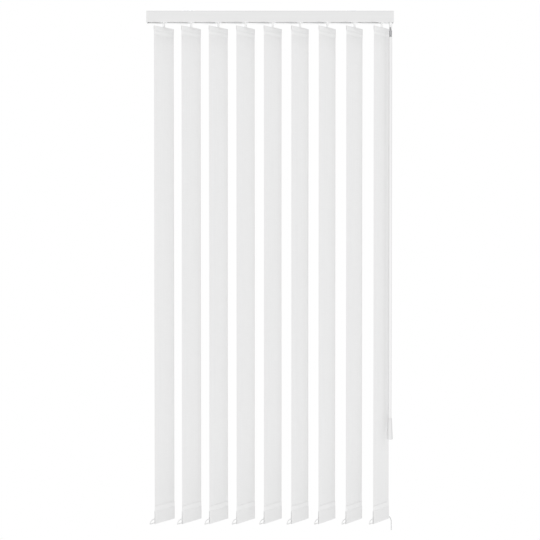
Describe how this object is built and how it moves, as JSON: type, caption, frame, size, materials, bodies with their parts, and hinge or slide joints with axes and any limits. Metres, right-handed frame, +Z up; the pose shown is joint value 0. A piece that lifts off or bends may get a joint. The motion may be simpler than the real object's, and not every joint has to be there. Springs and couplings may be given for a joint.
{
  "type": "vertical blind",
  "caption": "Vertical blind: welded fabric slats with weighted hems hang from geared carriers in a box headrail; a hooked wand turns and draws them.",
  "frame": {"origin": "on the ceiling plane, the top of the two brackets, midway between their screw holes", "axes": "+X along the headrail towards the wand, -Y to the room, +Z up"},
  "size_m": [0.7272, 0.1075, 1.5417],
  "materials": {
    "rail_paint": "white stove enamel on extruded aluminium",
    "cap_plastic": "moulded white",
    "bracket_steel": "zinc plated",
    "rod_aluminium": "extruded",
    "carrier_plastic": "moulded white",
    "gear_plastic": "moulded, natural",
    "hanger_plastic": "moulded white",
    "slat_fabric": "woven white, welded pockets",
    "weight_plastic": "moulded white",
    "wand_plastic": "extruded white",
    "grip_plastic": "moulded white",
    "hook_wire": "dark wire",
    "chain_plastic": "white beads on a thread"
  },
  "bodies": {
    "rail": {"headrail": "rail_paint", "end_cap_left": "cap_plastic", "end_cap_right": "cap_plastic", "ceiling_brackets": "bracket_steel", "carrier_1": "carrier_plastic"},
    "rod": {"tilt_rod": "rod_aluminium"},
    "slider_2": {"carrier_2": "carrier_plastic"},
    "slider_3": {"carrier_3": "carrier_plastic"},
    "slider_4": {"carrier_4": "carrier_plastic"},
    "slider_5": {"carrier_5": "carrier_plastic"},
    "slider_6": {"carrier_6": "carrier_plastic"},
    "slider_7": {"carrier_7": "carrier_plastic"},
    "slider_8": {"carrier_8": "carrier_plastic"},
    "slider_9": {"carrier_9": "carrier_plastic"},
    "worm_gear_1": {"worm_1": "gear_plastic"},
    "worm_gear_2": {"worm_2": "gear_plastic"},
    "worm_gear_3": {"worm_3": "gear_plastic"},
    "worm_gear_4": {"worm_4": "gear_plastic"},
    "worm_gear_5": {"worm_5": "gear_plastic"},
    "worm_gear_6": {"worm_6": "gear_plastic"},
    "worm_gear_7": {"worm_7": "gear_plastic"},
    "worm_gear_8": {"worm_8": "gear_plastic"},
    "worm_gear_9": {"worm_9": "gear_plastic"},
    "louvre_1": {"hanger_1": "hanger_plastic", "slat_1": "slat_fabric", "weight_1": "weight_plastic"},
    "louvre_2": {"hanger_2": "hanger_plastic", "slat_2": "slat_fabric", "weight_2": "weight_plastic"},
    "louvre_3": {"hanger_3": "hanger_plastic", "slat_3": "slat_fabric", "weight_3": "weight_plastic"},
    "louvre_4": {"hanger_4": "hanger_plastic", "slat_4": "slat_fabric", "weight_4": "weight_plastic"},
    "louvre_5": {"hanger_5": "hanger_plastic", "slat_5": "slat_fabric", "weight_5": "weight_plastic"},
    "louvre_6": {"hanger_6": "hanger_plastic", "slat_6": "slat_fabric", "weight_6": "weight_plastic"},
    "louvre_7": {"hanger_7": "hanger_plastic", "slat_7": "slat_fabric", "weight_7": "weight_plastic"},
    "louvre_8": {"hanger_8": "hanger_plastic", "slat_8": "slat_fabric", "weight_8": "weight_plastic"},
    "louvre_9": {"hanger_9": "hanger_plastic", "slat_9": "slat_fabric", "weight_9": "weight_plastic", "chain_tail": "chain_plastic"},
    "drive_bevel": {"drive_gear": "gear_plastic"},
    "wand_shaft": {"wand_drive": "carrier_plastic"},
    "hanging_wand": {"wand_hook": "hook_wire", "wand": "wand_plastic", "wand_grip": "grip_plastic"}
  },
  "joints": [
    {"name": "lead_traverse", "type": "slide", "parent": "rail", "child": "slider_9", "axis": [1, 0, 0], "range_m": [-0.4, 0]},
    {"name": "carrier_2_traverse", "type": "slide", "parent": "rail", "child": "slider_2", "axis": [1, 0, 0], "range_m": [-0.0505, 0.0005]},
    {"name": "carrier_3_traverse", "type": "slide", "parent": "rail", "child": "slider_3", "axis": [1, 0, 0], "range_m": [-0.1005, 0.0005]},
    {"name": "carrier_4_traverse", "type": "slide", "parent": "rail", "child": "slider_4", "axis": [1, 0, 0], "range_m": [-0.1505, 0.0005]},
    {"name": "carrier_5_traverse", "type": "slide", "parent": "rail", "child": "slider_5", "axis": [1, 0, 0], "range_m": [-0.2005, 0.0005]},
    {"name": "carrier_6_traverse", "type": "slide", "parent": "rail", "child": "slider_6", "axis": [1, 0, 0], "range_m": [-0.2505, 0.0005]},
    {"name": "carrier_7_traverse", "type": "slide", "parent": "rail", "child": "slider_7", "axis": [1, 0, 0], "range_m": [-0.3005, 0.0005]},
    {"name": "carrier_8_traverse", "type": "slide", "parent": "rail", "child": "slider_8", "axis": [1, 0, 0], "range_m": [-0.3505, 0.0005]},
    {"name": "slat_9_tilt", "type": "hinge", "parent": "slider_9", "child": "louvre_9", "pos_m": [0.328, 0, -0.04], "axis": [0, 0, 1], "range_deg": [-40, 80]},
    {"name": "slat_1_tilt", "type": "hinge", "parent": "rail", "child": "louvre_1", "pos_m": [-0.312, 0, -0.04], "axis": [0, 0, 1], "range_deg": [-40.5, 80.5]},
    {"name": "slat_2_tilt", "type": "hinge", "parent": "slider_2", "child": "louvre_2", "pos_m": [-0.232, 0, -0.04], "axis": [0, 0, 1], "range_deg": [-40.5, 80.5]},
    {"name": "slat_3_tilt", "type": "hinge", "parent": "slider_3", "child": "louvre_3", "pos_m": [-0.152, 0, -0.04], "axis": [0, 0, 1], "range_deg": [-40.5, 80.5]},
    {"name": "slat_4_tilt", "type": "hinge", "parent": "slider_4", "child": "louvre_4", "pos_m": [-0.072, 0, -0.04], "axis": [0, 0, 1], "range_deg": [-40.5, 80.5]},
    {"name": "slat_5_tilt", "type": "hinge", "parent": "slider_5", "child": "louvre_5", "pos_m": [0.008, 0, -0.04], "axis": [0, 0, 1], "range_deg": [-40.5, 80.5]},
    {"name": "slat_6_tilt", "type": "hinge", "parent": "slider_6", "child": "louvre_6", "pos_m": [0.088, 0, -0.04], "axis": [0, 0, 1], "range_deg": [-40.5, 80.5]},
    {"name": "slat_7_tilt", "type": "hinge", "parent": "slider_7", "child": "louvre_7", "pos_m": [0.168, 0, -0.04], "axis": [0, 0, 1], "range_deg": [-40.5, 80.5]},
    {"name": "slat_8_tilt", "type": "hinge", "parent": "slider_8", "child": "louvre_8", "pos_m": [0.248, 0, -0.04], "axis": [0, 0, 1], "range_deg": [-40.5, 80.5]},
    {"name": "rod_turn", "type": "hinge", "parent": "rail", "child": "rod", "pos_m": [0, -0.01105, -0.02141], "axis": [1, 0, 0], "range_deg": [-724, 364]},
    {"name": "worm_1_turn", "type": "hinge", "parent": "rail", "child": "worm_gear_1", "pos_m": [-0.312, -0.01105, -0.02141], "axis": [1, 0, 0], "range_deg": [-724, 364]},
    {"name": "worm_2_turn", "type": "hinge", "parent": "slider_2", "child": "worm_gear_2", "pos_m": [-0.232, -0.01105, -0.02141], "axis": [1, 0, 0], "range_deg": [-724, 364]},
    {"name": "worm_3_turn", "type": "hinge", "parent": "slider_3", "child": "worm_gear_3", "pos_m": [-0.152, -0.01105, -0.02141], "axis": [1, 0, 0], "range_deg": [-724, 364]},
    {"name": "worm_4_turn", "type": "hinge", "parent": "slider_4", "child": "worm_gear_4", "pos_m": [-0.072, -0.01105, -0.02141], "axis": [1, 0, 0], "range_deg": [-724, 364]},
    {"name": "worm_5_turn", "type": "hinge", "parent": "slider_5", "child": "worm_gear_5", "pos_m": [0.008, -0.01105, -0.02141], "axis": [1, 0, 0], "range_deg": [-724, 364]},
    {"name": "worm_6_turn", "type": "hinge", "parent": "slider_6", "child": "worm_gear_6", "pos_m": [0.088, -0.01105, -0.02141], "axis": [1, 0, 0], "range_deg": [-724, 364]},
    {"name": "worm_7_turn", "type": "hinge", "parent": "slider_7", "child": "worm_gear_7", "pos_m": [0.168, -0.01105, -0.02141], "axis": [1, 0, 0], "range_deg": [-724, 364]},
    {"name": "worm_8_turn", "type": "hinge", "parent": "slider_8", "child": "worm_gear_8", "pos_m": [0.248, -0.01105, -0.02141], "axis": [1, 0, 0], "range_deg": [-724, 364]},
    {"name": "worm_9_turn", "type": "hinge", "parent": "slider_9", "child": "worm_gear_9", "pos_m": [0.328, -0.01105, -0.02141], "axis": [1, 0, 0], "range_deg": [-724, 364]},
    {"name": "drive_gear_turn", "type": "hinge", "parent": "slider_9", "child": "drive_bevel", "pos_m": [0.353, -0.01105, -0.02141], "axis": [1, 0, 0], "range_deg": [-724, 364]},
    {"name": "wand_turn", "type": "hinge", "parent": "slider_9", "child": "wand_shaft", "pos_m": [0.353, -0.01105, -0.02141], "axis": [0, 0, 1], "range_deg": [-364, 724]},
    {"name": "wand_swing", "type": "hinge", "parent": "wand_shaft", "child": "hanging_wand", "pos_m": [0.353, -0.01105, -0.04861], "axis": [-0.5835, -0.8121, 0], "range_deg": [0, 50]}
  ],
  "couplings": [
    {"joint": "carrier_2_traverse", "follows": "lead_traverse", "ratio": 0.125},
    {"joint": "carrier_3_traverse", "follows": "lead_traverse", "ratio": 0.25},
    {"joint": "carrier_4_traverse", "follows": "lead_traverse", "ratio": 0.375},
    {"joint": "carrier_5_traverse", "follows": "lead_traverse", "ratio": 0.5},
    {"joint": "carrier_6_traverse", "follows": "lead_traverse", "ratio": 0.625},
    {"joint": "carrier_7_traverse", "follows": "lead_traverse", "ratio": 0.75},
    {"joint": "carrier_8_traverse", "follows": "lead_traverse", "ratio": 0.875},
    {"joint": "slat_1_tilt", "follows": "slat_9_tilt", "ratio": 1},
    {"joint": "slat_2_tilt", "follows": "slat_9_tilt", "ratio": 1},
    {"joint": "slat_3_tilt", "follows": "slat_9_tilt", "ratio": 1},
    {"joint": "slat_4_tilt", "follows": "slat_9_tilt", "ratio": 1},
    {"joint": "slat_5_tilt", "follows": "slat_9_tilt", "ratio": 1},
    {"joint": "slat_6_tilt", "follows": "slat_9_tilt", "ratio": 1},
    {"joint": "slat_7_tilt", "follows": "slat_9_tilt", "ratio": 1},
    {"joint": "slat_8_tilt", "follows": "slat_9_tilt", "ratio": 1},
    {"joint": "rod_turn", "follows": "slat_9_tilt", "ratio": -9},
    {"joint": "worm_1_turn", "follows": "slat_9_tilt", "ratio": -9},
    {"joint": "worm_2_turn", "follows": "slat_9_tilt", "ratio": -9},
    {"joint": "worm_3_turn", "follows": "slat_9_tilt", "ratio": -9},
    {"joint": "worm_4_turn", "follows": "slat_9_tilt", "ratio": -9},
    {"joint": "worm_5_turn", "follows": "slat_9_tilt", "ratio": -9},
    {"joint": "worm_6_turn", "follows": "slat_9_tilt", "ratio": -9},
    {"joint": "worm_7_turn", "follows": "slat_9_tilt", "ratio": -9},
    {"joint": "worm_8_turn", "follows": "slat_9_tilt", "ratio": -9},
    {"joint": "worm_9_turn", "follows": "slat_9_tilt", "ratio": -9},
    {"joint": "drive_gear_turn", "follows": "slat_9_tilt", "ratio": -9},
    {"joint": "wand_turn", "follows": "slat_9_tilt", "ratio": 9}
  ]
}
